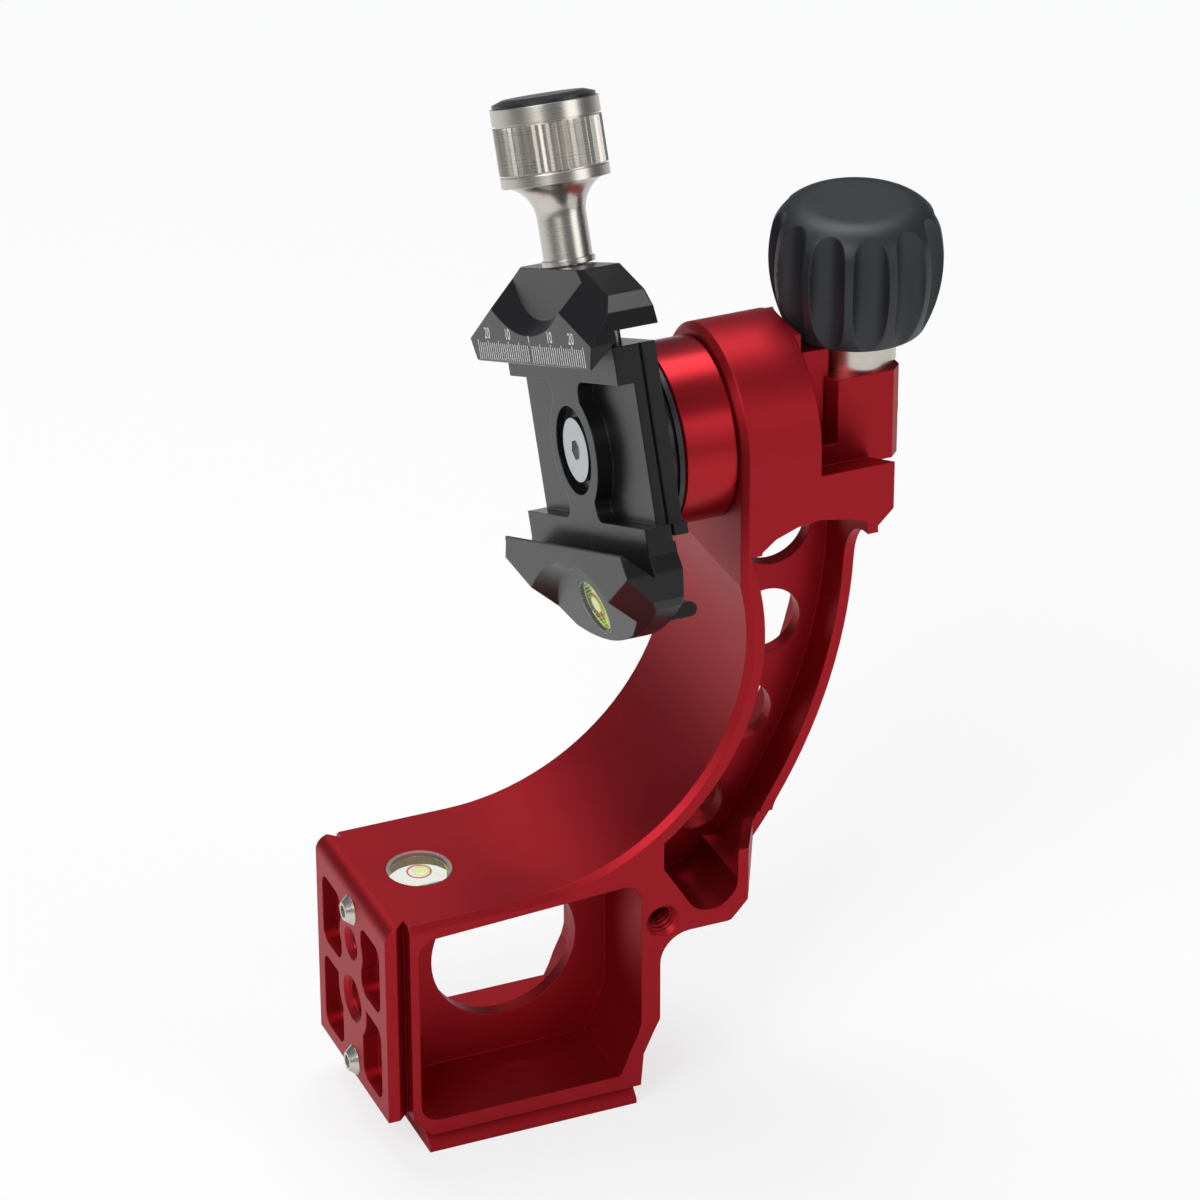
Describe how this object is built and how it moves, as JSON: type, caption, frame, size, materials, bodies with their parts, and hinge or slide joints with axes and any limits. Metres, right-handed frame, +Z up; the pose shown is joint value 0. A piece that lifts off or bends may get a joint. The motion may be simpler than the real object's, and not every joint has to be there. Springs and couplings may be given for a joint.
{
  "type": "gimbal tripod head",
  "caption": "Side-arm gimbal head for a long lens: curved machined arm with a ribbed base, tilting quick-release clamp with bubble level, and fluted lock knob.",
  "frame": {"origin": "centre of the underside of the bottom dovetail", "axes": "+Z up through the base, +X along the base from the end dovetail towards the arm and parallel to the tilt axis, -Y towards the side with the threaded hole"},
  "size_m": [0.124, 0.0782, 0.2032],
  "materials": {
    "red_anodised": "bead-blasted red anodising",
    "black_anodised": "satin black anodising",
    "stainless": "turned stainless steel",
    "bearing_steel": "ground bearing steel",
    "bronze": "plain bronze",
    "knob_rubber": "smooth satin black rubber over a metal core",
    "black_plastic": "black plastic",
    "clear_vial": "clear acrylic vial",
    "level_liquid": "yellow-green liquid"
  },
  "bodies": {
    "arm": {"arm": "red_anodised", "base_vial": "clear_vial", "base_liquid": "level_liquid", "end_stop_upper": "stainless", "end_stop_lower": "stainless", "foot_stop_near": "stainless", "foot_stop_far": "stainless", "front_outer_race": "bearing_steel", "front_balls": "bearing_steel", "rear_outer_race": "bearing_steel", "rear_balls": "bearing_steel", "outer_spacer": "bearing_steel", "bearing_retainer": "black_anodised", "post_plug": "black_plastic", "lock_collar": "stainless"},
    "tilting_clamp": {"hub": "red_anodised", "hub_washer": "black_plastic", "friction_ring": "stainless", "adapter_disc": "black_anodised", "tilt_shaft": "stainless", "shaft_nut": "stainless", "centre_screw": "stainless", "front_inner_race": "bearing_steel", "rear_inner_race": "bearing_steel", "inner_spacer": "bearing_steel", "clamp_body": "black_anodised", "clamp_vial": "clear_vial", "clamp_liquid": "level_liquid", "near_guide_pin": "stainless", "far_guide_pin": "stainless"},
    "jaw": {"moving_jaw": "black_anodised"},
    "jaw_knob": {"clamp_screw": "stainless", "neck_ring": "stainless", "clamp_knob": "stainless", "knob_cap": "black_plastic"},
    "brake": {"brake_shoe": "bronze"},
    "lock_knob": {"lock_stud": "stainless", "lock_knob": "knob_rubber"}
  },
  "joints": [
    {"name": "tilt", "type": "hinge", "parent": "arm", "child": "tilting_clamp", "pos_m": [0, 0, 0.1382], "axis": [1, 0, 0], "continuous": true},
    {"name": "jaw_slide", "type": "slide", "parent": "tilting_clamp", "child": "jaw", "axis": [0, 0.3907, 0.9205], "range_m": [-0.0025, 0.0033]},
    {"name": "jaw_knob_turn", "type": "hinge", "parent": "jaw", "child": "jaw_knob", "pos_m": [0.0219, 0, 0.1382], "axis": [0, 0.3907, 0.9205], "range_deg": [-720, 960]},
    {"name": "brake_press", "type": "slide", "parent": "arm", "child": "brake", "axis": [0, 0, -1], "range_m": [0, 0.00025]},
    {"name": "lock_turn", "type": "hinge", "parent": "brake", "child": "lock_knob", "pos_m": [0.07526, 0, 0.1382], "axis": [0, 0, -1], "range_deg": [0, 72]}
  ],
  "couplings": [
    {"joint": "jaw_knob_turn", "follows": "jaw_slide", "rad_per_m": 5026},
    {"joint": "lock_turn", "follows": "brake_press", "rad_per_m": 5026}
  ]
}
